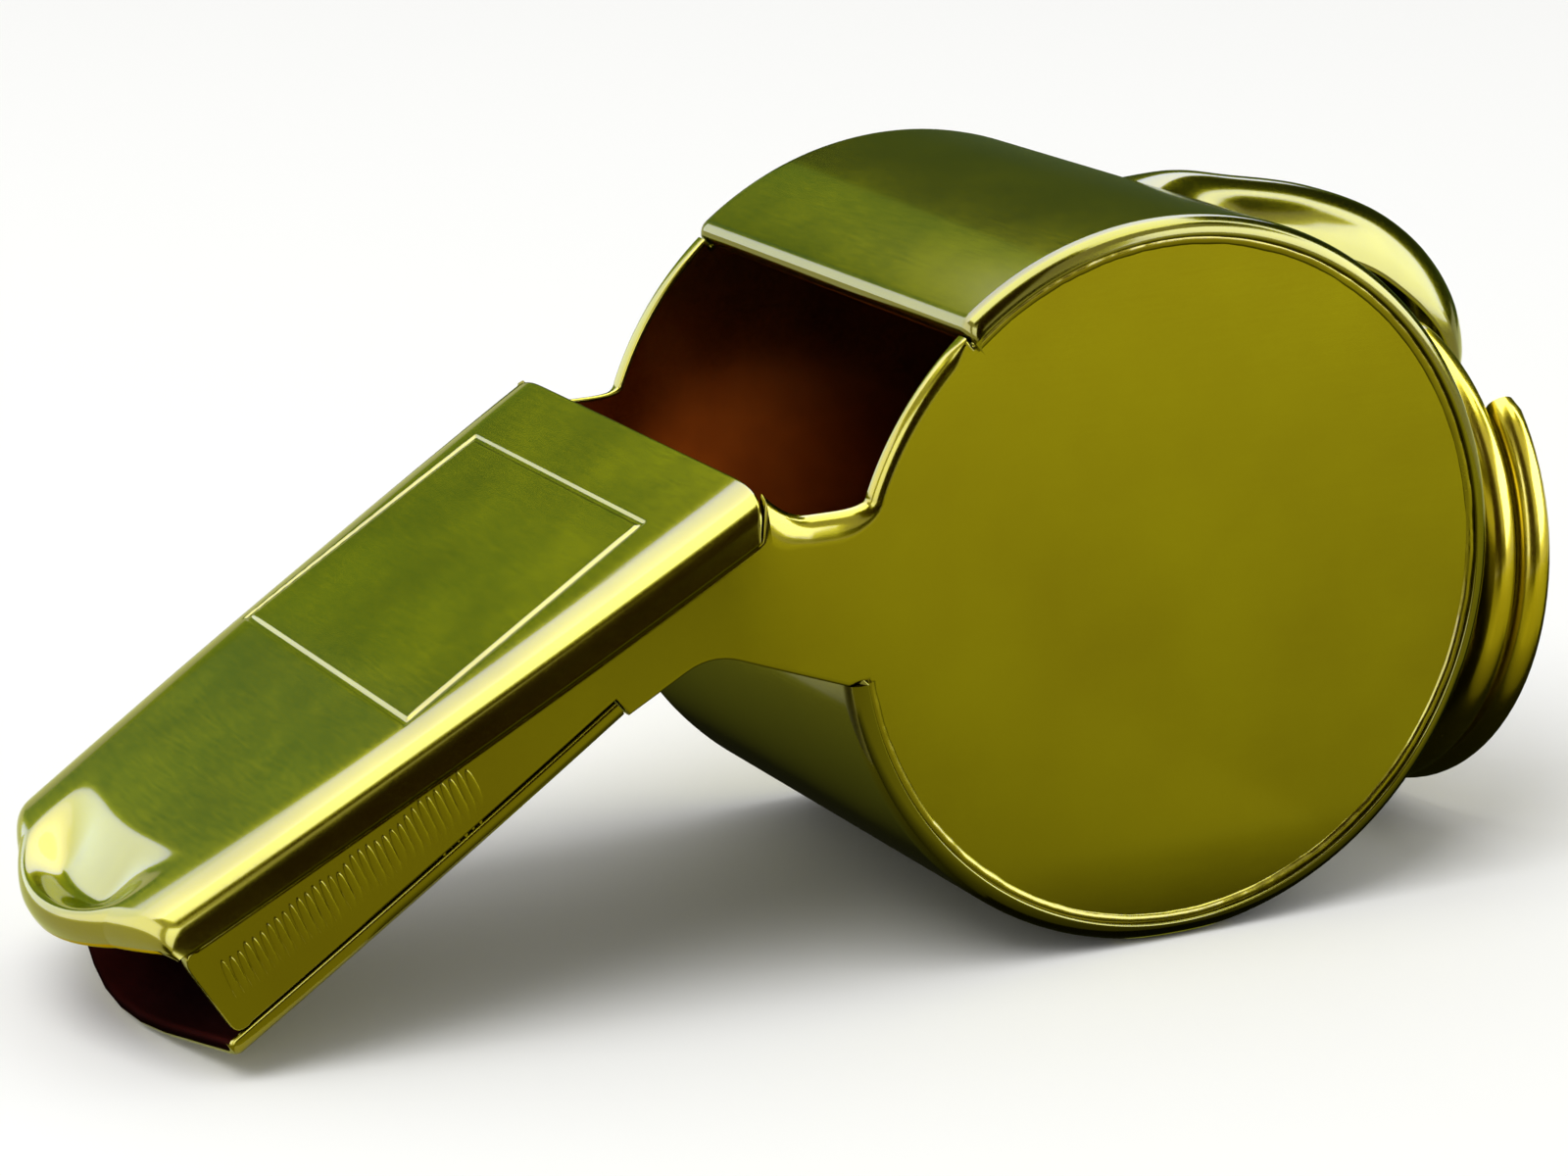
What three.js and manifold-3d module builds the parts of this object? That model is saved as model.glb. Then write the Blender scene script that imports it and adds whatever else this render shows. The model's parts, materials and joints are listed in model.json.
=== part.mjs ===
// Pea whistle of soldered sheet brass, standing on its barrel and its mouthpiece tip.
// Millimetres, +Z up. The player is at -X, the lanyard ring at +X, and the barrel's axis lies along Y.
import * as THREE from 'three';
import { mergeVertices } from 'three/addons/utils/BufferGeometryUtils.js';
import Module from 'manifold-3d';

const wasm = await Module();
wasm.setup();

// Sheet and barrel
const sheet = 0.6;
const seamGap = 0.12; // solder film between neighbouring sheets
const barrelRadius = 11.5;
const barrelWidth = 19.5;
const discInset = 0.2; // the side plates lie this far inside the band's edges
const notchAngle = 188.5; // degrees from +X, where the band turns forward into its tail

// Fineness of the curves
const roundStep = 4; // degrees of arc to one facet
const rollStep = 15;
const edgeStep = 22.5;
const flatParts = 12;
const bendParts = 6;
const sillParts = 5;
const topSteps = 26;
const tipCrowding = 1.5; // the top's steps close up towards the tip
const floorSteps = 10;
const crownParts = 8;
const loopSteps = 40;
const wireSides = 8;
const wireSteps = 72;
const peaSides = 28;
const peaRings = 18;

// Window between the mouthpiece and the blade
const bladeAngle = 130;
const sillAngle = 159;
const windowEdgeInset = 0.3;
const sillHeight = 3.7; // above the barrel's axis
const sillRun = 1.2; // length of the curve from the cheek to the sill
const cornerDrop = 0.22; // the sill climbs to this far below the roof at its rear corner
const cornerRun = 1.5;
const jetDrop = 0.15; // the roof's line passes this far below the blade
const windowLength = 7.67; // from the blade to the roof's rear edge, along the roof

// Mouthpiece, measured forward from the roof's rear edge and down from the roof
const roofLength = 21.8;
const rollWidth = 2.5; // the roof's soft shoulders
const rollDepth = 1.2;
const rollFullness = 3; // 2 is an ellipse, more is squarer
const flangeDrop = 0.05; // straight edge below the shoulder
const flangeSlant = 0.85; // the flanges' rear ends are cut at a slant
const slantReach = 6;
const flangeGap = 0.16; // between that slanted end and the sill's corner
const throatDepth = 3.2;
const neckStart = 4.0;
const floorStart = 7.1;
const floorLength = 15.0;
const floorFlare = 6.5; // degrees, the windway narrows towards the barrel
const floorEdgeRadius = 0.45;
const tailGap = 0.3; // between the band's tail and the floor's rear edge
const armLength = 21.7;
const armTaper = 4.3; // degrees, each arm leans inwards
const armBow = 1.06; // and curves in by this much more at its end
const bendReach = 2.5; // the arms' bend lies this far in front of the barrel
const edgeZone = 2.8; // width beside each edge that keeps its section where the mouthpiece narrows

// Tooth hold at the tip
const lipBulge = 2.05;
const floorBulge = 1.3;
const tipReach = 7; // length over which the tip's curve fades out
const lipThickness = 1.2; // the sheet is thickened to a rounded lip at its front edge
const lipLength = 1.3;
const lipRound = 0.45;
const dishStart = 1.35;
const dishLength = 2.3;
const dishDepth = 0.75;
const dishLean = 0.75; // below 1 the hollow is deepest near the lip
const dishRamp = 1.6; // how fast the hollow deepens from its sides

// Lanyard loop, a crowned strap. Stations: degrees round the barrel, and share of the loop's height
const loopWidth = 3.5;
const loopThickness = 0.7;
const loopEdge = 0.4; // thickness left at the strap's edges
const loopHeight = 5.25;
const loopDroop = 1.4; // the strap is hollowed like a gutter, with its edges towards the barrel
const droopGrownShare = 0.2; // shares of the strap's length
const droopKeptShare = 0.45;
const droopGoneShare = 0.85;
const loopStations = [
  [74, -0.13],
  [63, 0.08],
  [54, 0.23],
  [43, 0.51],
  [33, 0.79],
  [25, 0.95],
  [18, 1],
  [12, 0.92],
  [8.5, 0.66],
  [7.5, 0.36],
  [8.5, 0.1],
  [10.5, -0.11],
];

// Split ring: overlapping turns of round wire, one S-bend where the wire crosses from turn to turn
const wireDiameter = 1.0;
const turnGap = 0.42; // clear between the two turns
const ringRadius = 7.6; // to the middle of the wire
const ringAngle = 21.3; // degrees round the barrel, where the ring hangs in the loop
const ringHeight = 2.8; // above the barrel there
const ringLean = 3.7; // degrees, its lower part leans towards the barrel
const ringTwist = 3; // degrees about the vertical, its right side stands off the barrel
const ringEnd = 47; // degrees above the horizontal, where the rear turn ends
const ringBendStart = 232; // degrees along the wire
const ringBendEnd = 290;
const ringWound = 590;

// Pea
const peaDiameter = 12.4;
const peaClearance = 0.3;

const brassColour = '#a89a2a';
const wireColour = '#b0a53a';
const corkColour = '#a8703c';

const rad = THREE.MathUtils.degToRad;
const at = (x, y) => new THREE.Vector2(x, y);

function polar(radius, degrees) {
  return at(radius * Math.cos(rad(degrees)), radius * Math.sin(rad(degrees)));
}

function arc(centre, radius, from, to, step = roundStep) {
  const count = Math.max(2, Math.ceil(Math.abs(to - from) / step));
  const points = [];
  for (let i = 0; i <= count; i += 1) {
    points.push(polar(radius, from + ((to - from) * i) / count).add(centre));
  }
  return points;
}

function smooth(t) {
  return THREE.MathUtils.smoothstep(t, 0, 1);
}

// Solids and meshes

function solid(geometry) {
  geometry.deleteAttribute('normal');
  geometry.deleteAttribute('uv');
  const merged = mergeVertices(geometry);
  const vertProperties = merged.attributes.position.array;
  const triVerts = Uint32Array.from(merged.index.array);
  return new wasm.Manifold(new wasm.Mesh({ numProp: 3, vertProperties, triVerts }));
}

function brassMesh(name, body, colour = brassColour) {
  const { vertProperties, triVerts } = body.getMesh();
  const geometry = new THREE.BufferGeometry();
  geometry.setAttribute('position', new THREE.BufferAttribute(vertProperties, 3));
  geometry.setIndex(new THREE.BufferAttribute(triVerts, 1));
  geometry.computeVertexNormals();
  const material = new THREE.MeshStandardMaterial({ color: colour, metalness: 1, roughness: 0.18 });
  const mesh = new THREE.Mesh(geometry, material);
  mesh.name = name;
  return mesh;
}

// A side view in X and Z, carried across the width
function across(outline, halfWidth) {
  const shape = new THREE.Shape(outline);
  const geometry = new THREE.ExtrudeGeometry(shape, { depth: 2 * halfWidth, bevelEnabled: false });
  geometry.rotateX(Math.PI / 2);
  geometry.translate(0, halfWidth, 0);
  return solid(geometry);
}

// A plan in X and Y, carried through the whole height
function upright(outline) {
  const height = 4 * barrelRadius;
  const shape = new THREE.Shape(outline);
  const geometry = new THREE.ExtrudeGeometry(shape, { depth: height, bevelEnabled: false });
  geometry.translate(0, 0, -height / 2);
  return solid(geometry);
}

// Frame of the mouthpiece: the roof leans so that the tip stands on the barrel's own resting plane

const origin = at(0, 0);
const blade = polar(barrelRadius, bladeAngle);
const roofFrom = at(blade.x, blade.y - jetDrop);
const flare = rad(floorFlare);
const tipRun = floorLength + floorBulge;
const tipForward = windowLength + floorStart + tipRun * Math.cos(flare);
const tipDown = throatDepth + tipRun * Math.sin(flare);
const tipDrop = roofFrom.y + barrelRadius;
const roofLean = Math.asin(tipDrop / Math.hypot(tipForward, tipDown)) - Math.atan2(tipDown, tipForward);

function leaning(from, lean) {
  const forward = at(-Math.cos(lean), -Math.sin(lean));
  const up = at(-Math.sin(lean), Math.cos(lean));
  return (s, n) => from.clone().addScaledVector(forward, s).addScaledVector(up, n);
}

const roofRear = leaning(roofFrom, roofLean)(windowLength, 0);
const onRoof = leaning(roofRear, roofLean);
const onFloor = leaning(onRoof(floorStart, -throatDepth), roofLean + flare);

const plateHalf = barrelWidth / 2 - discInset; // outer face of each side plate
const flangeDepth = rollDepth + flangeDrop;
const flatHalf = plateHalf - rollWidth; // where the roof's shoulders begin
const bendX = -barrelRadius - bendReach;
const armRun = bendX - onRoof(armLength, 0).x;
const tipX = onRoof(roofLength + lipBulge, 0).x - lipBulge;
const taperRate = Math.tan(rad(armTaper));

function inward(x) {
  const ahead = Math.max(0, bendX - x);
  const share = ahead / armRun;
  return ahead * taperRate + armBow * share * share;
}

// Where the mouthpiece narrows, its edges move inwards whole and the flat between them closes up
function narrowed(y, x) {
  const flat = plateHalf - edgeZone;
  if (Math.abs(y) > flat) {
    return y - Math.sign(y) * inward(x);
  }
  return (y * (flat - inward(x))) / flat;
}

// Barrel band

// Plan of one side: straight along the barrel, then curving inwards along the arm
function sideLine(halfWidth, from, side) {
  const line = [at(from, side * halfWidth)];
  for (let i = 0; i <= bendParts; i += 1) {
    const x = bendX + ((tipX - bendX) * i) / bendParts;
    line.push(at(x, side * (halfWidth - inward(x))));
  }
  return line;
}

function planBetween(halfWidth) {
  return upright([...sideLine(halfWidth, 0, 1), ...sideLine(halfWidth, 0, -1).reverse()]);
}

function barrelBand() {
  const inner = barrelRadius - sheet;
  const outside = arc(origin, barrelRadius, notchAngle - 360, bladeAngle);
  const inside = arc(origin, inner, bladeAngle, notchAngle - 360);
  const wall = across([...outside, ...inside], barrelWidth / 2);

  const rootAngle = notchAngle + roundStep / 2;
  const notch = polar(barrelRadius, notchAngle);
  const corner = onRoof(neckStart, -throatDepth);
  const bendFill = at(corner.y - notch.y, notch.x - corner.x).setLength(sheet / 2);
  const cornerUp = onRoof(neckStart, sheet - throatDepth);
  const endS = floorStart - tailGap;
  const tail = across([
    polar(barrelRadius, rootAngle), notch, corner,
    onRoof(endS, -throatDepth), onRoof(endS, sheet - throatDepth),
    cornerUp, polar(inner, notchAngle).add(bendFill), polar(inner, rootAngle),
  ], barrelWidth / 2);
  return wall.add(tail.intersect(planBetween(plateHalf - sheet - seamGap)));
}

// Side plates: a disc let into the band, the window's cheek, the neck and a bent arm

function sidePlateOutline() {
  const disc = barrelRadius - sheet - seamGap;
  const gapAngle = THREE.MathUtils.radToDeg(seamGap / disc);
  const windowEdge = barrelRadius - windowEdgeInset;
  const sill = polar(windowEdge, sillAngle);
  const under = flangeDepth + seamGap;
  const corner = onRoof(flangeSlant * cornerDrop - flangeGap, -cornerDrop);
  const sillBend = at(sill.x, sillHeight);
  const sillEnd = at(sill.x - sillRun, sillHeight);
  const climbStart = at(corner.x + cornerRun, sillHeight);
  const climbBend = at(corner.x + cornerRun / 2, sillHeight);
  const sillCurve = new THREE.QuadraticBezierCurve(sill, sillBend, sillEnd).getPoints(sillParts);
  const climb = new THREE.QuadraticBezierCurve(climbStart, climbBend, corner).getPoints(sillParts);
  const armFront = onFloor(armLength - floorStart, sheet + seamGap);
  return [
    polar(barrelRadius, notchAngle - gapAngle),
    ...arc(origin, disc, notchAngle - gapAngle, 360 + bladeAngle + gapAngle),
    ...arc(origin, windowEdge, bladeAngle + gapAngle, sillAngle),
    ...sillCurve.slice(1),
    ...climb,
    onRoof(flangeSlant * under - flangeGap, -under),
    onRoof(armLength, -under),
    armFront,
    onFloor(-tailGap, sheet + seamGap),
    onRoof(floorStart - tailGap, -throatDepth),
    onRoof(neckStart, -throatDepth),
  ];
}

function sidePlate(side) {
  const back = 2 * barrelRadius;
  const bent = upright([
    ...sideLine(plateHalf, back, side),
    ...sideLine(plateHalf - sheet, back, side).reverse(),
  ]);
  return across(sidePlateOutline(), barrelWidth).intersect(bent);
}

// Mouthpiece top: a tapered channel with rolled edges, dished behind a lip

// Upper face of the roof, level between its shoulders
function shoulderAt(y, width, depth) {
  const share = Math.min(1, Math.max(0, Math.abs(y) - flatHalf) / width);
  return depth * (Math.pow(1 - Math.pow(share, rollFullness), 1 / rollFullness) - 1);
}

function topSection() {
  const shoulder = (width, depth) => {
    const points = [];
    for (let angle = 90; angle >= 0; angle -= rollStep) {
      const share = Math.pow(Math.cos(rad(angle)), 2 / rollFullness);
      const height = Math.pow(Math.sin(rad(angle)), 2 / rollFullness);
      points.push(at(flatHalf + width * share, depth * height - rollDepth));
    }
    return points;
  };
  const mirror = (points) => points.map((p) => at(-p.x, p.y)).reverse();
  const outside = [...shoulder(rollWidth, rollDepth), at(plateHalf, -flangeDepth)];
  const inside = [
    at(plateHalf - sheet, -flangeDepth), ...shoulder(rollWidth - sheet, rollDepth - sheet).reverse(),
  ];
  const flat = (height) => {
    const points = [];
    for (let i = 1; i < flatParts; i += 1) {
      points.push(at(flatHalf * ((2 * i) / flatParts - 1), height));
    }
    return points;
  };
  return [
    ...mirror(outside), ...flat(0), ...outside,
    ...inside, ...flat(-sheet).reverse(), ...mirror(inside),
  ];
}

function bulgeAt(y, fromTip, bulge) {
  const share = y / plateHalf;
  return bulge * (1 - share * share) * smooth(1 - fromTip / tipReach);
}

function dishAt(y, fromTip) {
  const along = (fromTip - dishStart) / dishLength;
  const across01 = Math.abs(y) / flatHalf;
  if (along <= 0 || along >= 1 || across01 >= 1) {
    return 0;
  }
  const hollow = Math.sin(Math.PI * Math.pow(along, dishLean));
  return -dishDepth * hollow * smooth(dishRamp * (1 - across01));
}

// The lip: at the front edge the under face drops to the lip's thickness, and both faces round off
function lipped(y, n, fromTip) {
  const short = Math.max(0, 1 - fromTip / lipRound);
  const rounding = lipRound * (1 - Math.sqrt(1 - short * short));
  const isUnder = n < shoulderAt(y, rollWidth, rollDepth) - sheet / 4;
  if (isUnder) {
    const grown = smooth(1 - fromTip / lipLength);
    return n + grown * (Math.min(n, -lipThickness) - n) + rounding;
  }
  return n - rounding * (1 + n / flangeDepth);
}

function placeOnTop(y, n, s) {
  const fromTip = roofLength - s;
  const pressed = lipped(y, n, fromTip) + dishAt(y, fromTip);
  const cut = flangeSlant * -n * Math.max(0, 1 - s / slantReach);
  const point = onRoof(s + bulgeAt(y, fromTip, lipBulge) + cut, pressed);
  return new THREE.Vector3(point.x, narrowed(y, point.x), point.y);
}

function formed(section, steps, place) {
  const shape = new THREE.Shape(section);
  const geometry = new THREE.ExtrudeGeometry(shape, { depth: 1, steps, bevelEnabled: false });
  const position = geometry.attributes.position;
  for (let i = 0; i < position.count; i += 1) {
    const point = place(-position.getX(i), position.getY(i), position.getZ(i));
    position.setXYZ(i, point.x, point.y, point.z);
  }
  return solid(geometry);
}

function tubeAlong(path, radius, sides, steps) {
  const section = new THREE.Shape(arc(origin, radius, 0, 360, 360 / sides).slice(1));
  const geometry = new THREE.ExtrudeGeometry(section, { steps, extrudePath: path, bevelEnabled: false });
  return solid(geometry);
}

function mouthpieceTop() {
  const along = (u) => roofLength * (1 - Math.pow(1 - u, tipCrowding));
  return formed(topSection(), topSteps, (y, n, u) => placeOnTop(y, n, along(u)));
}

// Mouthpiece floor: a flat plate with rounded lower edges and the tip's curve

function mouthpieceFloor() {
  const corner = at(plateHalf - floorEdgeRadius, floorEdgeRadius);
  const rightEdge = arc(corner, floorEdgeRadius, -90, 0, edgeStep);
  const leftEdge = rightEdge.map((p) => at(-p.x, p.y)).reverse();
  const bottom = [];
  for (let i = 1; i < flatParts; i += 1) {
    bottom.push(at(corner.x * ((2 * i) / flatParts - 1), 0));
  }
  const top = bottom.map((p) => at(p.x, sheet)).reverse();
  const section = [
    ...leftEdge, ...bottom, ...rightEdge,
    at(plateHalf, sheet), ...top, at(-plateHalf, sheet),
  ];
  return formed(section, floorSteps, (y, n, u) => {
    const s = floorLength * u;
    const point = onFloor(s + bulgeAt(y, floorLength - s, floorBulge), n);
    return new THREE.Vector3(point.x, narrowed(y, point.x), point.y);
  });
}

// Lanyard loop: a crowned strap with drooping edges, its feet seated on the barrel

function barrelCore(radius) {
  const facets = 120;
  const round = radius / Math.cos(Math.PI / facets);
  return across(arc(origin, round, 0, 360, 360 / facets).slice(1), barrelWidth);
}

function loopSection() {
  const crown = [];
  const under = [];
  for (let i = 0; i <= crownParts; i += 1) {
    const share = (2 * i) / crownParts - 1;
    const y = (loopWidth / 2) * share;
    crown.push(at(y, loopThickness / 2 - (loopThickness - loopEdge) * share * share));
    under.push(at(y, -loopThickness / 2));
  }
  return [...crown, ...under.reverse()];
}

function droopAt(u) {
  const fading = (u - droopKeptShare) / (droopGoneShare - droopKeptShare);
  return loopDroop * smooth(u / droopGrownShare) * (1 - smooth(fading));
}

function lanyardLoop() {
  const points = loopStations.map(([degrees, share]) => {
    const point = polar(barrelRadius + loopHeight * share, degrees);
    return new THREE.Vector3(point.x, 0, point.y);
  });
  const path = new THREE.CatmullRomCurve3(points, false, 'centripetal');
  const strap = formed(loopSection(), loopSteps, (y, n, u) => {
    const share = y / (loopWidth / 2);
    const ahead = path.getTangentAt(u);
    const outward = new THREE.Vector3(-ahead.z, 0, ahead.x);
    const place = path.getPointAt(u).addScaledVector(outward, n - droopAt(u) * share * share);
    place.y = -y;
    return place;
  });
  return strap.subtract(barrelCore(barrelRadius + seamGap));
}

// Split ring: one unbroken wire

const ringHang = polar(barrelRadius + ringHeight, ringAngle); // the line that the ring swings about
const wirePitch = wireDiameter + turnGap;

class RingWire extends THREE.Curve {
  getPoint(t, target = new THREE.Vector3()) {
    const turned = ringWound * t;
    const crossed = smooth((turned - ringBendStart) / (ringBendEnd - ringBendStart));
    const angle = rad(ringEnd - turned);
    const drop = ringRadius * (Math.sin(angle) - 1);
    const side = at(wirePitch * (1 - crossed), drop).rotateAround(origin, rad(-ringLean));
    const plan = at(side.x, -ringRadius * Math.cos(angle)).rotateAround(origin, rad(ringTwist));
    return target.set(ringHang.x + plan.x, plan.y, ringHang.y + side.y);
  }
}

function leastGap(path, diameter) {
  const count = 400;
  const apart = Math.ceil(count / 8);
  const points = path.getPoints(count);
  let least = Infinity;
  points.forEach((point, i) => {
    for (let j = i + apart; j < points.length; j += 1) {
      least = Math.min(least, point.distanceTo(points[j]) - diameter);
    }
  });
  return least;
}

function splitRing() {
  const path = new RingWire();
  console.log(`split ring: least gap between its turns ${leastGap(path, wireDiameter).toFixed(3)} mm`);
  return tubeAlong(path, wireDiameter / 2, wireSides, wireSteps);
}

// Cork pea, lying at the bottom of the chamber

function corkPea() {
  const radius = peaDiameter / 2;
  const geometry = new THREE.SphereGeometry(radius, peaSides, peaRings);
  const material = new THREE.MeshStandardMaterial({ color: corkColour, metalness: 0, roughness: 0.9 });
  const pea = new THREE.Mesh(geometry, material);
  pea.name = 'cork_pea';
  pea.position.z = -(barrelRadius - sheet - peaClearance - radius);
  return pea;
}

// Assembly, with the origin on the resting plane below the middle of the object

const whistle = new THREE.Group();
whistle.add(
  brassMesh('barrel_band', barrelBand()),
  brassMesh('side_plate_right', sidePlate(-1)),
  brassMesh('side_plate_left', sidePlate(1)),
  brassMesh('mouthpiece_top', mouthpieceTop()),
  brassMesh('mouthpiece_floor', mouthpieceFloor()),
  brassMesh('lanyard_loop', lanyardLoop()),
  brassMesh('split_ring', splitRing(), wireColour),
  corkPea(),
);

const box = new THREE.Box3().setFromObject(whistle, true);
const middle = box.getCenter(new THREE.Vector3());
whistle.position.set(-middle.x, -middle.y, -box.min.z);

const part = new THREE.Group();
part.add(whistle);

export default part;
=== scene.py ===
import json
import math

import bmesh
import bpy
import numpy as np
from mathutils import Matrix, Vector, noise


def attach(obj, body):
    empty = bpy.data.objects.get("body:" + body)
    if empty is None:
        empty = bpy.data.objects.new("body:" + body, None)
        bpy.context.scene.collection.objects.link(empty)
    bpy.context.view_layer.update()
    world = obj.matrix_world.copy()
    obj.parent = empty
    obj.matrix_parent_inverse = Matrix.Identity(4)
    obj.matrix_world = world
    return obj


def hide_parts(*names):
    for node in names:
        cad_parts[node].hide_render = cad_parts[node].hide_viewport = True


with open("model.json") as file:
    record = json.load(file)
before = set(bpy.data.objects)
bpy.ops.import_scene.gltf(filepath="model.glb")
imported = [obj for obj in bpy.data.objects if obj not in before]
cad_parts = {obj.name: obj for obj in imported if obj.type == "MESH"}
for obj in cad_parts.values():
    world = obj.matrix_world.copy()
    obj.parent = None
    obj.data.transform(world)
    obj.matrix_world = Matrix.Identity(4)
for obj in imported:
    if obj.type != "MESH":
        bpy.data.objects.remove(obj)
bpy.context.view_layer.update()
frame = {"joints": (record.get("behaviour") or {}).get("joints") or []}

mm = 0.001

# Everything below is in millimetres from the middle of the barrel, x to the ring, y to the far side, z up
jointPlace = {joint["name"]: Vector(joint["pos_m"]) / mm for joint in frame["joints"]}
barrelAxis = jointPlace["pea_orbit"]
ringPivot = jointPlace["ring_swing"] - barrelAxis


def toFrame(points):
    return (np.asarray(points, float) + np.array(barrelAxis)) * mm


def polar(radius, degrees):
    angle = math.radians(degrees)
    return np.array([radius * math.cos(angle), radius * math.sin(angle)])


def smooth(t):
    t = np.clip(t, 0, 1)
    return t * t * (3 - 2 * t)


def bezier(start, handle, end, count):
    t = np.linspace(0, 1, count)[:, None]
    return (1 - t) ** 2 * start + 2 * t * (1 - t) * handle + t * t * end


def quarter(count):
    angle = np.linspace(0, math.pi / 2, count)
    return 1 - np.cos(angle), 1 - np.sin(angle)  # along the face and down from it, both from the edge


def roundedOff(away, radius):
    short = max(0, 1 - away / radius)
    return radius * (1 - math.sqrt(1 - short * short))  # how far a rounded edge lies below its face


def acrossAt(spot, y):
    return np.stack([spot[:, 0], y, spot[:, 1]], axis=1)  # points of the side view, moved across to y


# Nodes, colours and meshes

weldDistance = 1e-7  # metres
creaseAngle = {"sheet": 40, "wire": 50}  # degrees, past which an edge shows as a crease


def addNode(tree, kind, values=None, links=None, **settings):
    node = tree.nodes.new(kind)
    for key, value in settings.items():
        setattr(node, key, value)
    for key, value in (values or {}).items():
        node.inputs[key].default_value = value
    for key, socket in (links or {}).items():
        tree.links.new(socket, node.inputs[key])
    return node


def hexColour(text):
    parts = [int(text[i:i + 2], 16) / 255 for i in (1, 3, 5)]
    return [p / 12.92 if p <= 0.04045 else ((p + 0.055) / 1.055) ** 2.4 for p in parts] + [1]


def perMm(size):
    return 1 / (size * mm)  # scale of a pattern whose features are that many millimetres wide


def newObject(name, mesh, *materials):
    thing = bpy.data.objects.new(name, mesh)
    bpy.context.scene.collection.objects.link(thing)
    for material in materials:
        mesh.materials.append(material)
    return thing


def tidyMesh(mesh, kind):
    work = bmesh.new()
    work.from_mesh(mesh)
    bmesh.ops.remove_doubles(work, verts=work.verts, dist=weldDistance)
    bmesh.ops.recalc_face_normals(work, faces=work.faces)
    work.to_mesh(mesh)
    work.free()
    mesh.shade_smooth()
    mesh.set_sharp_from_angle(angle=math.radians(creaseAngle[kind]))


# A sheet with two faces, given as two grids of points, closed all round its edge
# The inner face has the second material, apart from edgeColumns columns at each side
def thickSheet(name, outer, inner, edgeColumns=0):
    rows, cols = outer.shape[:2]
    front = np.arange(rows * cols).reshape(rows, cols)
    back = front + rows * cols
    faces, kinds = [], []
    for i in range(rows - 1):
        for j in range(cols - 1):
            faces.append((front[i, j], front[i + 1, j], front[i + 1, j + 1], front[i, j + 1]))
            faces.append((back[i, j], back[i, j + 1], back[i + 1, j + 1], back[i + 1, j]))
            kinds += [0, int(edgeColumns <= j < cols - 1 - edgeColumns)]
    rim = [(0, j) for j in range(cols)]
    rim += [(i, cols - 1) for i in range(1, rows)]
    rim += [(rows - 1, j) for j in range(cols - 2, -1, -1)]
    rim += [(i, 0) for i in range(rows - 2, 0, -1)]
    for a, b in zip(rim, rim[1:] + rim[:1]):
        faces.append((front[b], front[a], back[a], back[b]))
        kinds.append(0)
    points = toFrame(np.concatenate([outer.reshape(-1, 3), inner.reshape(-1, 3)]))
    mesh = bpy.data.meshes.new(name)
    mesh.from_pydata([tuple(p) for p in points], [], [tuple(int(i) for i in f) for f in faces])
    mesh.polygons.foreach_set("material_index", kinds)
    tidyMesh(mesh, "sheet")
    return mesh


# Materials

noiseRange = (0.3, 0.7)  # where most of a noise texture's values lie


def newMaterial(name):
    material = bpy.data.materials.new(name)
    material.use_nodes = True
    tree = material.node_tree
    tree.nodes.clear()
    place = addNode(tree, "ShaderNodeTexCoord")
    surface = addNode(tree, "ShaderNodeBsdfPrincipled")
    addNode(tree, "ShaderNodeOutputMaterial", links={"Surface": surface.outputs["BSDF"]})
    return material, tree, place.outputs["Object"], surface


# Buffed brass under thin lacquer: a mirror that is softened by buffing lines, smears and a slow ripple
# The lines are drawn coarser than real ones, so that they show
buff = {"driftMm": 6, "lineMm": 0.1, "lineStretch": 12, "smearMm": 3.2, "smearShare": 0.45,
        "rippleStrength": 0.35, "scratchStrength": 0.12, "scratchMm": 0.002, "lacquerRoughness": 0.08}


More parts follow.
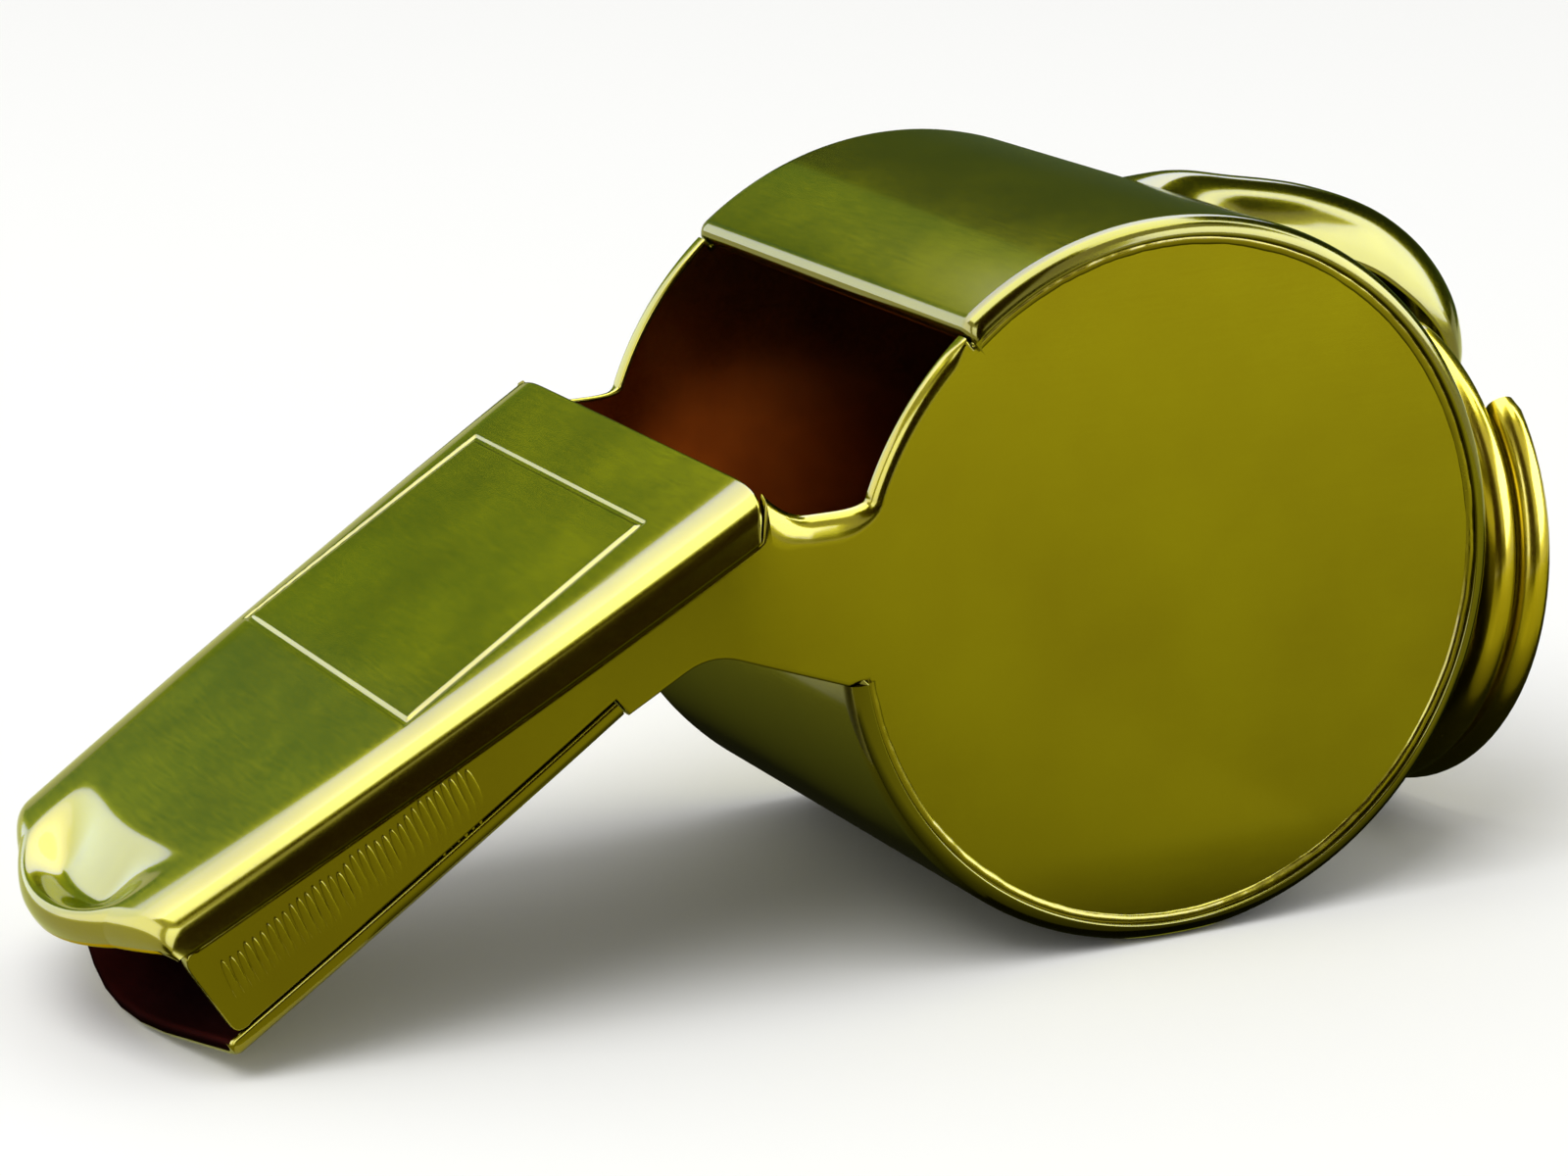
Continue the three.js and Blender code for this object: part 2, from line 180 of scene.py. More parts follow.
def buffedBrass(name, light, deep, sheen, linesAlong, rippleMm=5.0, ripple=0.02, lacquer=0.4, flat="#E1E76C"):
    material, tree, place, surface = newMaterial(name)
    drift = addNode(tree, "ShaderNodeTexNoise", {"Scale": perMm(buff["driftMm"]), "Detail": 3}, {"Vector": place})
    tone = addNode(tree, "ShaderNodeValToRGB", links={"Fac": drift.outputs["Fac"]})
    for stop, position, colour in zip(tone.color_ramp.elements, noiseRange, (deep, light)):
        stop.position = position
        stop.color = hexColour(colour)
    stretch = [1 if axis == linesAlong else buff["lineStretch"] for axis in "xyz"]  # lines run along one axis
    along = addNode(tree, "ShaderNodeMapping", {"Scale": stretch}, {"Vector": place})
    lines = addNode(tree, "ShaderNodeTexNoise",
                    {"Scale": perMm(buff["lineMm"] * buff["lineStretch"]), "Detail": 4, "Roughness": 0.7},
                    {"Vector": along.outputs["Vector"]})
    smear = addNode(tree, "ShaderNodeTexNoise",
                    {"Scale": perMm(buff["smearMm"]), "Detail": 5, "Roughness": 0.6}, {"Vector": place})
    worn = addNode(tree, "ShaderNodeMix", {"Factor": buff["smearShare"]},
                   {"A": lines.outputs["Fac"], "B": smear.outputs["Fac"]})
    rough = addNode(tree, "ShaderNodeMapRange",
                    {"From Min": noiseRange[0], "From Max": noiseRange[1], "To Min": sheen[0], "To Max": sheen[1]},
                    {"Value": worn.outputs["Result"]})
    wave = addNode(tree, "ShaderNodeTexNoise", {"Scale": perMm(rippleMm), "Detail": 1}, {"Vector": place})
    swell = addNode(tree, "ShaderNodeBump", {"Strength": buff["rippleStrength"], "Distance": ripple * mm},
                    {"Height": wave.outputs["Fac"]})
    scratch = addNode(tree, "ShaderNodeBump",
                      {"Strength": buff["scratchStrength"], "Distance": buff["scratchMm"] * mm},
                      {"Height": lines.outputs["Fac"], "Normal": swell.outputs["Normal"]})
    surface.inputs["Metallic"].default_value = 1
    surface.inputs["Specular Tint"].default_value = hexColour(flat)  # colour at a flat angle
    surface.inputs["Coat Weight"].default_value = lacquer
    surface.inputs["Coat Roughness"].default_value = buff["lacquerRoughness"]
    tree.links.new(tone.outputs["Color"], surface.inputs["Base Color"])
    tree.links.new(rough.outputs["Result"], surface.inputs["Roughness"])
    tree.links.new(scratch.outputs["Normal"], surface.inputs["Normal"])
    return material


# Ground cork: brown grains with darker pores between them
corkLook = {"grainMm": 0.9, "dark": "#9A5220", "light": "#D88840", "poreMm": 0.35, "poreEdge": (0.36, 0.46),
            "poreShade": 0.35, "roughness": (0.95, 0.75), "bumpStrength": 0.6, "bumpMm": 0.08}


def groundCork(name):
    material, tree, place, surface = newMaterial(name)
    grain = addNode(tree, "ShaderNodeTexVoronoi", {"Scale": perMm(corkLook["grainMm"])}, {"Vector": place})
    shade = addNode(tree, "ShaderNodeValToRGB", links={"Fac": grain.outputs["Color"]})
    for stop, key in zip(shade.color_ramp.elements, ("dark", "light")):
        stop.color = hexColour(corkLook[key])
    pore = addNode(tree, "ShaderNodeTexNoise", {"Scale": perMm(corkLook["poreMm"]), "Detail": 4}, {"Vector": place})
    dark = addNode(tree, "ShaderNodeMapRange",
                   {"From Min": corkLook["poreEdge"][0], "From Max": corkLook["poreEdge"][1],
                    "To Min": corkLook["poreShade"], "To Max": 1}, {"Value": pore.outputs["Fac"]})
    mixed = addNode(tree, "ShaderNodeMix", {"Factor": 1},
                    {"A": shade.outputs["Color"], "B": dark.outputs["Result"]},
                    data_type="RGBA", blend_type="MULTIPLY")
    rough = addNode(tree, "ShaderNodeMapRange",
                    {"To Min": corkLook["roughness"][0], "To Max": corkLook["roughness"][1]},
                    {"Value": pore.outputs["Fac"]})
    bump = addNode(tree, "ShaderNodeBump", {"Strength": corkLook["bumpStrength"], "Distance": corkLook["bumpMm"] * mm},
                   {"Height": pore.outputs["Fac"]})
    tree.links.new(mixed.outputs["Result"], surface.inputs["Base Color"])
    tree.links.new(rough.outputs["Result"], surface.inputs["Roughness"])
    tree.links.new(bump.outputs["Normal"], surface.inputs["Normal"])
    return material


# Flat plates: an even mirror. Rolled wall and loop: smoother, and a darker copy of the same brass, which is painted
# shade. Pressed top: a little paler
sheetBrass = buffedBrass("Brass_blanked_buffed", "#877E06", "#7F7405", (0.14, 0.26), "x")
shadedBandBrass = buffedBrass("Brass_rolled_painted_shade", "#6F680B", "#635D09", (0.12, 0.22), "y")
pressedBrass = buffedBrass("Brass_pressed_buffed", "#857D10", "#766E0C", (0.14, 0.24), "y")
# Drawn wire: brighter, with a soft gleam. Wiped solder: duller, with small lumps
wireBrass = buffedBrass("Brass_wire_drawn", "#B2A020", "#9E8C16", (0.18, 0.28), "y", ripple=0.008)
solderBrass = buffedBrass("Solder_wiped", "#8A8016", "#6E6208", (0.16, 0.3), "y", rippleMm=0.5)
# Bare brass inside: brown tarnish that still mirrors the pea. In the mouth, a near-black brown that is painted shade,
# where the mouth lies in shadow
insideBrass = buffedBrass("Brass_tarnished_inside", "#C4963E", "#8E6424", (0.16, 0.28), "y", lacquer=0)
mouthShadeBrass = buffedBrass("Brass_mouth_painted_shade", "#22110A", "#140A05", (0.4, 0.6), "y", lacquer=0, flat="#7C5038")
cork = groundCork("Cork_ground")
print("materials ready")


# Shapes that the pieces share

barrel = {"radius": 11.5, "halfWidth": 9.75, "sheet": 0.6, "discInset": 0.2, "seamGap": 0.04,
          "bladeAngle": 130, "notchAngle": 188.5}
mouth = {"jetDrop": 0.15, "windowLength": 7.67, "roofLength": 21.8, "rollWidth": 2.5, "rollDepth": 1.2,
         "rollFullness": 3, "flangeDrop": 0.05, "flangeSlant": 0.85, "slantReach": 6, "throatDepth": 3.2,
         "neckStart": 4.0, "floorStart": 7.1, "floorLength": 15.0, "floorFlare": 6.5, "tailGap": 0.06,
         "armLength": 21.7, "armTaper": 4.3, "armBow": 1.06, "bendReach": 2.5, "bendRound": 1.2,
         "edgeZone": 2.8, "lipBulge": 2.01, "floorBulge": 1.3, "tipReach": 7}

plateHalf = barrel["halfWidth"] - barrel["discInset"]
flatHalf = plateHalf - mouth["rollWidth"]
flangeDepth = mouth["rollDepth"] + mouth["flangeDrop"]
bendX = -barrel["radius"] - mouth["bendReach"]
flare = math.radians(mouth["floorFlare"])
taperRate = math.tan(math.radians(mouth["armTaper"]))
bladeEdge = polar(barrel["radius"], barrel["bladeAngle"])
roofFrom = bladeEdge - np.array([0, mouth["jetDrop"]])


def roofLeanAngle():
    run = mouth["floorLength"] + mouth["floorBulge"]
    forward = mouth["windowLength"] + mouth["floorStart"] + run * math.cos(flare)
    down = mouth["throatDepth"] + run * math.sin(flare)
    drop = roofFrom[1] + barrel["radius"]  # the tip stands on the barrel's own resting plane
    return math.asin(drop / math.hypot(forward, down)) - math.atan2(down, forward)


def leaning(start, lean):
    ahead = np.array([-math.cos(lean), -math.sin(lean)])
    above = np.array([-math.sin(lean), math.cos(lean)])

    def place(s, n):
        return start + np.multiply.outer(s, ahead) + np.multiply.outer(n, above)
    return place


roofLean = roofLeanAngle()
onRoof = leaning(leaning(roofFrom, roofLean)(mouth["windowLength"], 0), roofLean)
onFloor = leaning(onRoof(mouth["floorStart"], -mouth["throatDepth"]), roofLean + flare)
armRun = bendX - onRoof(mouth["armLength"], 0)[0]


def inward(x):
    ahead = bendX - np.asarray(x, float)
    half = mouth["bendRound"]
    eased = np.where(ahead > half, ahead, (ahead + half) ** 2 / (4 * half))  # the bend is rounded
    bow = mouth["armBow"] * (np.maximum(ahead, 0) / armRun) ** 2
    return np.where(ahead < -half, 0, eased) * taperRate + bow


def narrowed(y, x):
    flat = plateHalf - mouth["edgeZone"]
    return np.where(np.abs(y) > flat, y - np.sign(y) * inward(x), y * (flat - inward(x)) / flat)


def bulgeAt(y, fromTip, bulge):
    return bulge * (1 - (y / plateHalf) ** 2) * smooth(1 - fromTip / mouth["tipReach"])


# Barrel band: the rolled wall with its buffed rims, and the tail that runs forward under the neck

band = {"rimRound": 0.65, "rimDepth": 0.53, "rimPoints": 9, "rimHold": 0.08, "innerRound": 0.06, "innerPoints": 5,
        "innerHold": 0.2, "innerShare": 0.95, "wallShare": 0.6, "edgeColumns": 6, "step": 1.5, "bladeRound": 0.5,
        "bladeRows": (0, 0.03, 0.08, 0.15, 0.24, 0.36, 0.5), "bladeSteps": 2, "tailRound": 0.1,
        "neckShares": (0.5, 0.72), "neckPoints": 5, "bendShare": 0.5, "bendPoints": 8}


# Rows from the blade to the end of the tail: outer and inner face, half the width, rounding of the rim
def bandPath():
    radius, sheet = barrel["radius"], barrel["sheet"]
    rows = []
    sweep = np.arange(barrel["bladeAngle"], barrel["notchAngle"] - 360, -band["step"])
    lead = np.degrees(np.array(band["bladeRows"]) / radius)  # closer rows in place of the first steps
    sweep = np.concatenate([barrel["bladeAngle"] - lead, sweep[band["bladeSteps"]:], [barrel["notchAngle"] - 360]])
    for angle in sweep:
        out = polar(1, angle)
        drop = roundedOff(radius * math.radians(barrel["bladeAngle"] - angle), band["bladeRound"])
        rows.append((out * (radius - drop), out * (radius - sheet), barrel["halfWidth"], band["rimRound"]))
    notch = polar(radius, barrel["notchAngle"])
    corner = onRoof(mouth["neckStart"], -mouth["throatDepth"])
    end = onRoof(mouth["floorStart"] - mouth["tailGap"], -mouth["throatDepth"])
    straight, bendFrom = (notch + share * (corner - notch) for share in band["neckShares"])
    bendTo = corner + band["bendShare"] * (end - corner)
    under = np.concatenate([np.linspace(notch, straight, band["neckPoints"]),
                            bezier(bendFrom, corner, bendTo, band["bendPoints"]), [end]])
    heading = np.gradient(under, axis=0)
    heading /= np.linalg.norm(heading, axis=1)[:, None]
    half = plateHalf - sheet - barrel["seamGap"]
    for place, ahead in zip(under, heading):
        up = np.array([ahead[1], -ahead[0]])
        rows.append((place, place + sheet * up, half - float(inward(place[0])), band["tailRound"]))
    return rows


def barrelBand():
    along, down = quarter(band["rimPoints"])
    alongIn, downIn = quarter(band["innerPoints"])
    outer, inner = [], []
    for face, back, half, rim in bandPath():
        thick = float(np.linalg.norm(back - face))
        through = (back - face) / thick
        last = band["wallShare"] * half
        edge = np.concatenate([half - rim * along, [half - rim - band["rimHold"], last]])
        depth = np.concatenate([min(rim, band["rimDepth"]) * down, [0, 0]])
        spare = len(edge) - len(alongIn)
        edgeIn = np.concatenate([half - band["innerRound"] * alongIn, np.full(spare - 2, half - band["innerHold"]),
                                 [band["innerShare"] * half, last]])
        depthIn = np.concatenate([thick - band["innerRound"] * downIn, np.full(spare, thick)])
        for rows, y, d in ((outer, edge, depth), (inner, edgeIn, depthIn)):
            spot = face + np.multiply.outer(np.concatenate([d, d[::-1]]), through)
            rows.append(acrossAt(spot, np.concatenate([-y, y[::-1]])))
    return thickSheet("barrelBand", np.array(outer), np.array(inner), band["edgeColumns"])


# Side plates: a disc let into the band, the window's cheek, the sill, the neck and the bent arm

plate = {"windowInset": 0.3, "sillAngle": 159, "sillHeight": 3.7, "sillRun": 1.2, "cornerDrop": 0.22, "cornerRun": 1.5,
         "endGap": 0.16, "edgeRound": 0.12, "cheekRound": 0.4, "sillRound": 0.85, "cornerRound": 1.35,
         "armRound": 0.06, "roundDepth": 0.52, "innerRound": 0.1, "support": 0.05,
         "cheekGrowth": 6, "sillGrowth": 3, "sillTurn": 2.5,  # how fast the rounding changes along the edge
         "tipStop": 0.5, "tipCut": 0.4, "footStop": 0.6, "footShare": 0.03,
         "frontShares": (0.2, 0.25, 0.85, 0.88), "throatShare": 0.3, "neckShares": (0.2, 0.3, 0.95),
         "discPoints": 150, "linePoints": 30, "sillPoints": 12, "climbPoints": 16, "endPoints": 9, "frontPoints": 8,
         "tipPoints": 5, "bendPoints": 8, "neckPoints": 10, "edgePoints": 8, "innerPoints": 4, "bendCuts": 9,
         "armCuts": 14, "armCutsFrom": 2, "flatArea": 20}


# Outline in x and z, with the reach of each point's rounded edge into the plate
def plateOutline(cheekRound):
    radius, sheet, gap = barrel["radius"], barrel["sheet"], barrel["seamGap"]
    disc = radius - sheet - gap
    slip = math.degrees(gap / disc)
    thin, soft, count = plate["edgeRound"], plate["armRound"], plate["linePoints"]
    rows, reach = [], []

    def add(points, width, into=(np.nan, np.nan)):
        for point in points:
            rows.append((point[0], point[1], width))
            reach.append(into)

    # the disc, from the notch under the neck round to the blade
    begin, stop = barrel["notchAngle"] - slip, 360 + barrel["bladeAngle"] + slip
    notch = polar(radius, begin)
    add([notch], thin)
    add([polar(disc, angle) for angle in np.linspace(begin, stop, plate["discPoints"])], thin)

    # the window's cheek and the sill, which climbs to the mouthpiece
    cheek = radius - plate["windowInset"]
    angles = np.linspace(barrel["bladeAngle"] + slip, plate["sillAngle"], count)
    for angle, share in zip(angles, np.linspace(0, 1, count)):
        grown = float(smooth(plate["cheekGrowth"] * share))
        add([polar(cheek, angle)], thin + (cheekRound - thin) * grown)
    sill = polar(cheek, plate["sillAngle"])
    slant, drop, height, run = mouth["flangeSlant"], plate["cornerDrop"], plate["sillHeight"], plate["cornerRun"]
    corner = onRoof(slant * drop - plate["endGap"], -drop)
    curve = bezier(sill, np.array([sill[0], height]), np.array([sill[0] - plate["sillRun"], height]),
                   plate["sillPoints"])[1:]
    climb = bezier(np.array([corner[0] + run, height]), np.array([corner[0] + run / 2, height]), corner,
                   plate["climbPoints"])
    strip = np.concatenate([curve, climb])
    away = sill / cheek
    for point, share in zip(strip, np.linspace(0, 1, len(strip))):
        width = cheekRound + (plate["sillRound"] - cheekRound) * float(smooth(plate["sillGrowth"] * share))
        width += (plate["cornerRound"] - plate["sillRound"]) * float(smooth(2 * share - 1))
        turn = float(smooth(plate["sillTurn"] * share))
        into = -(1 - turn) * away * width + turn * np.array([0, -width])
        add([point], width, tuple(into))

    # the end under the mouthpiece top, and the arm's upper edge, front and lower edge
    under, over = flangeDepth + gap, sheet + gap
    foot = onRoof(slant * under - plate["endGap"], -under)
    for point in np.linspace(corner, foot, plate["endPoints"])[1:]:
        add([point], thin, (thin, -max(0, plate["cornerRound"] - (corner[1] - point[1]))))
    armLength, floorStart = mouth["armLength"], mouth["floorStart"]
    add(onRoof(np.linspace(slant * under, armLength - plate["tipStop"], count), -under), thin)
    tip, front = onRoof(armLength, -under), onFloor(armLength - floorStart, over)
    tipEnd, lineFrom, lineTo, frontEnd = (tip + share * (front - tip) for share in plate["frontShares"])
    footEnd = front + plate["footShare"] * (onFloor(0, over) - front)
    add(bezier(onRoof(armLength - plate["tipCut"], -under), tip, tipEnd, plate["tipPoints"]), soft)
    add(np.linspace(lineFrom, lineTo, plate["frontPoints"]), soft)
    add(bezier(frontEnd, front, footEnd, plate["tipPoints"]), soft)
    add(onFloor(np.linspace(armLength - floorStart - plate["footStop"], -mouth["tailGap"], count), over), thin)

    # the neck, back to the notch
    add([onRoof(floorStart - mouth["tailGap"], -mouth["throatDepth"])], thin)
    bend = onRoof(mouth["neckStart"], -mouth["throatDepth"])
    before = bend + plate["throatShare"] * (onRoof(floorStart, -mouth["throatDepth"]) - bend)
    bendEnd, lineFrom, lineTo = (bend + share * (notch - bend) for share in plate["neckShares"])
    add(bezier(before, bend, bendEnd, plate["bendPoints"]), thin)
    add(np.linspace(lineFrom, lineTo, plate["neckPoints"]), thin)
    rows, reach = np.array(rows), np.array(reach)
    square = insetDirections(rows[:, :2]) * rows[:, 2:]
    return rows[:, :2], rows[:, 2], np.where(np.isnan(reach), square, reach)


def insetDirections(points):
    ahead = np.roll(points, -1, axis=0) - points
    ahead /= np.linalg.norm(ahead, axis=1)[:, None]
    area = np.sum(points[:, 0] * np.roll(points[:, 1], -1) - np.roll(points[:, 0], -1) * points[:, 1])
    left = np.stack([-ahead[:, 1], ahead[:, 0]], axis=1) * (1 if area > 0 else -1)
    before = np.roll(left, 1, axis=0)
    return (left + before) / np.maximum(1 + np.sum(left * before, axis=1), 0.5)[:, None]


def sidePlate(name, side):
    outline, width, reach = plateOutline(plate["cheekRound"] if side < 0 else plate["edgeRound"])
    square = insetDirections(outline)
    sheet, small, hold = barrel["sheet"], plate["innerRound"], plate["support"]
    along, down = quarter(plate["edgePoints"])
    alongIn, downIn = quarter(plate["innerPoints"])
    depthOut = np.minimum(plate["roundDepth"], width)
    rings = [(square * (small + hold), np.full(len(width), sheet))]
    for a, d in zip(alongIn[::-1], downIn[::-1]):
        rings.append((square * small * a, np.full(len(width), sheet - small * d)))
    for a, d in zip(along, down):
        rings.append((reach * a, depthOut * d))
    rings.append((reach + hold * reach / np.linalg.norm(reach, axis=1)[:, None], np.zeros(len(width))))
    work = bmesh.new()
    loops = []
    for shift, depth in rings:
        loops.append([work.verts.new((x, d, z)) for (x, z), d in zip(outline + shift, depth)])
    count = len(outline)
    for low, high in zip(loops, loops[1:]):
        for i in range(count):
            j = (i + 1) % count
            work.faces.new((low[i], low[j], high[j], high[i]))
    work.faces.new(loops[0]).material_index = 1
    work.faces.new(loops[-1])
    bend = np.linspace(bendX + mouth["bendRound"], bendX - mouth["bendRound"], plate["bendCuts"])
    arm = np.linspace(bendX - plate["armCutsFrom"], bendX - armRun, plate["armCuts"])
    for x in np.concatenate([bend, arm]):
        everything = work.verts[:] + work.edges[:] + work.faces[:]
        bmesh.ops.bisect_plane(work, geom=everything, plane_co=(x, 0, 0), plane_no=(1, 0, 0))
    for vert in work.verts:
        x, depth, z = vert.co
        y = side * (plateHalf - depth - float(inward(x)))
        vert.co = toFrame((x, y, z))
    mesh = bpy.data.meshes.new(name)
    work.to_mesh(mesh)
    work.free()
    tidyMesh(mesh, "sheet")
    for face in mesh.polygons:
        face.use_smooth = face.area < plate["flatArea"] * mm * mm  # the disc is one flat face
    return mesh


# Mouthpiece top: a tapered channel with soft shoulders, a hollow for the teeth behind a lip, and a plain stamped border

top = {"lipThickness": 1.2, "lipLength": 1.3, "lipRound": 0.75, "lipUnder": 0.3, "dishStart": 0.35, "dishLength": 2.75,
       "dishDepth": 0.75, "dishDeepest": 0.36, "dishRamp": 1.6, "edgeRound": 0.08, "edgeBend": 0.3, "rearRound": 0.12,
       "flare": 0.12, "rollEnd": 0.3, "rollSplit": 0.6, "rollPoints": 26,
       "middleHalf": 5.4, "middlePoints": 31, "shoulderFrom": 5.6, "shoulderStep": 0.06,
       "rearRows": (0, 0.01, 0.03, 0.06, 0.1, 0.14, 0.3, 0.6), "rowsFrom": 0.9, "rowStep": 0.4,
       "tipZone": 6, "tipRows": 70, "tipPower": 1.5}
border = {"from": 2.85, "to": 12.25, "near": (-5.93, -6.64), "far": (7.19, 7.07), "lineWidth": 0.3, "depth": 0.05,
          "steepness": 1.6, "rowReach": 0.3, "rows": 13, "fadeDepth": 0.3, "fadeWidth": 0.1}


def dishAt(y, fromTip):
    along = (fromTip - top["dishStart"]) / top["dishLength"]
    side = np.clip(1 - np.abs(y) / flatHalf, 0, 1)
    deepest = top["dishDeepest"]
    hollow = smooth(along / deepest) * (1 - smooth((along - deepest) / (1 - deepest)))
    return -top["dishDepth"] * hollow * smooth(top["dishRamp"] * side)


def lipped(n, fromTip, lower):
    rounding = roundedOff(fromTip, top["lipUnder"] if lower else top["lipRound"])
    if not lower:
        return n - rounding * (1 + n / flangeDepth)
    grown = smooth(1 - fromTip / top["lipLength"])
    return n + grown * (np.minimum(n, -top["lipThickness"]) - n) + rounding


def borderAt(y, s):
    share = (s - border["from"]) / (border["to"] - border["from"])
    near, far = (start + share * (end - start) for start, end in (border["near"], border["far"]))
    outS = max(border["from"] - s, s - border["to"])
    outY = np.maximum(near - y, y - far)
    away = np.abs(np.maximum(outS, outY)) / (border["lineWidth"] / 2)
    return -border["depth"] * smooth(border["steepness"] * (1 - away))


def mouthpieceTop():
    sheet, length, full, r = barrel["sheet"], mouth["roofLength"], mouth["rollFullness"], top["edgeRound"]
    split, count = top["rollSplit"], top["rollPoints"]
    turn = np.linspace(math.acos(split ** (full / 2)), 0, count)
    bent = np.concatenate([np.linspace(0, split, count)[:-1], np.cos(turn) ** (2 / full)])[::-1]
    fall = (1 - bent ** full) ** (1 / full)
    kept = fall > top["rollEnd"]  # below this the side runs straight to its foot, which flares a little
    bent, fall = bent[kept], fall[kept]

    # one side of the section: the foot of the side, then the roll up to the flat
    def sideOf(width, depth, outside, inside):
        inside, outside = inside + top["flare"], outside + top["flare"]
        between = inside + top["edgeBend"] * (outside - inside)
        leg = [(inside, -flangeDepth), (between, -flangeDepth + top["edgeBend"] * r), (outside, -flangeDepth + r)]
        return np.concatenate([leg, np.stack([flatHalf + width * bent, depth * fall - mouth["rollDepth"]], axis=1)])

    fine = np.arange(top["shoulderFrom"], flatHalf, top["shoulderStep"])
    middle = np.linspace(-top["middleHalf"], top["middleHalf"], top["middlePoints"])
    flat = np.concatenate([-fine[::-1], middle, fine])[::-1]

    def section(side, level):
        return np.concatenate([side, np.stack([flat, np.full(len(flat), level)], axis=1), (side * (-1, 1))[::-1]])

    width, depth = mouth["rollWidth"], mouth["rollDepth"]
    faceOut = section(sideOf(width, depth, plateHalf, plateHalf - r), 0)
    faceIn = section(sideOf(width - sheet, depth - sheet, plateHalf - sheet, plateHalf - sheet + r), -sheet)
    reach, zone = border["rowReach"], top["tipZone"]
    lines = [np.linspace(place - reach, place + reach, border["rows"]) for place in (border["from"], border["to"])]
    stations = np.concatenate([top["rearRows"], np.arange(top["rowsFrom"], length - zone, top["rowStep"]), *lines,
                               length - zone * np.linspace(1, 0, top["tipRows"]) ** top["tipPower"]])
    stations = np.unique(np.round(stations, 4))

    def grid(face, lower):
        rows = []
        y, n = face[:, 0], face[:, 1]
        for s in stations:
            fromTip = length - s
            cut = mouth["flangeSlant"] * -n * max(0, 1 - s / mouth["slantReach"])
            forward = s + bulgeAt(y, fromTip, mouth["lipBulge"]) + cut
            height = lipped(n, fromTip, lower) + dishAt(y, fromTip)
            if not lower:
                x = onRoof(forward, height)[:, 0]
                height = height - roundedOff(s, top["rearRound"]) * (1 + n / flangeDepth)
                shown = smooth((n + border["fadeDepth"]) / border["fadeWidth"])  # only on the flat
                height = height + borderAt(narrowed(y, x), s) * shown
            spot = onRoof(forward, height)
            rows.append(acrossAt(spot, narrowed(y, spot[:, 0])))
        return np.array(rows)
    return thickSheet("mouthpieceTop", grid(faceOut, False), grid(faceIn, True))


# Mouthpiece floor: a flat plate with soft edges and the tip's curve

floorPlate = {"edgeRound": 0.45, "topRound": 0.1, "tipRound": 0.28, "hold": 0.06, "columns": (5, 2.5, 0),
              "edgePoints": 8, "edgeColumns": 8, "rows": 30, "tipZone": 2, "tipRows": 26}


def mouthpieceFloor():
    length, zone, columns = mouth["floorLength"], floorPlate["tipZone"], floorPlate["columns"]
    along, down = quarter(floorPlate["edgePoints"])
    stations = np.concatenate([np.linspace(0, length - zone, floorPlate["rows"]),
                               length - zone * np.linspace(1, 0, floorPlate["tipRows"])[1:] ** 2])

    def section(r):
        edge = np.concatenate([plateHalf - r * along, [plateHalf - r - floorPlate["hold"]], columns])
        drop = np.concatenate([r * down, np.zeros(1 + len(columns))])
        return np.concatenate([-edge, edge[-2::-1]]), np.concatenate([drop, drop[-2::-1]])

    def grid(y, n, sign):
        rows = []
        for s in stations:
            fromTip = length - s
            lift = sign * roundedOff(fromTip, floorPlate["tipRound"])
            spot = onFloor(s + bulgeAt(y, fromTip, mouth["floorBulge"]), n + lift)
            rows.append(acrossAt(spot, narrowed(y, spot[:, 0])))
        return np.array(rows)

    y, drop = section(floorPlate["edgeRound"])
    yUp, dropUp = section(floorPlate["topRound"])
    lower, upper = grid(y, drop, 1), grid(yUp, barrel["sheet"] - dropUp, -1)
    return thickSheet("mouthpieceFloor", lower, upper, floorPlate["edgeColumns"])


# Lanyard loop: a crowned strap from the top of the barrel to its back

loop = {"width": 3.5, "thickness": 0.7, "edge": 0.4, "height": 5.24, "edgeRound": 0.2, "innerEase": 0.4, "droop": 1.4,
        "droopGrown": 0.2, "droopKept": 0.5, "droopGone": 0.95, "footRadius": 11.3,
        "tracePoints": 600, "rows": 150, "columns": 41,
        "route": ((74, -0.13), (63, 0.08), (54, 0.23), (43, 0.51), (33, 0.79), (25, 0.95), (18, 1.0), (12, 0.92),
                  (8.5, 0.66), (7.5, 0.36), (8.5, 0.1), (10.5, -0.11))}  # degrees round the barrel, share of the height


# A smooth curve through all the points, with no loops between close ones
def curveThrough(points, count):
    points = np.asarray(points, float)
    path = np.concatenate([[2 * points[0] - points[1]], points, [2 * points[-1] - points[-2]]])
    knots = np.concatenate([[0], np.cumsum(np.linalg.norm(np.diff(path, axis=0), axis=1) ** 0.5)])
    result = []
    for t in np.linspace(knots[1], knots[-2] - 1e-9, count):
        i = int(np.searchsorted(knots, t, side="right")) - 1
        k, p = knots[i - 1:i + 3], path[i - 1:i + 3]
        for step in (1, 2):
            p = [(k[j + step] - t) / (k[j + step] - k[j]) * p[j] + (t - k[j]) / (k[j + step] - k[j]) * p[j + 1]
                 for j in range(4 - step)]
        result.append((k[2] - t) / (k[2] - k[1]) * p[0] + (t - k[1]) / (k[2] - k[1]) * p[1])
    return np.array(result)


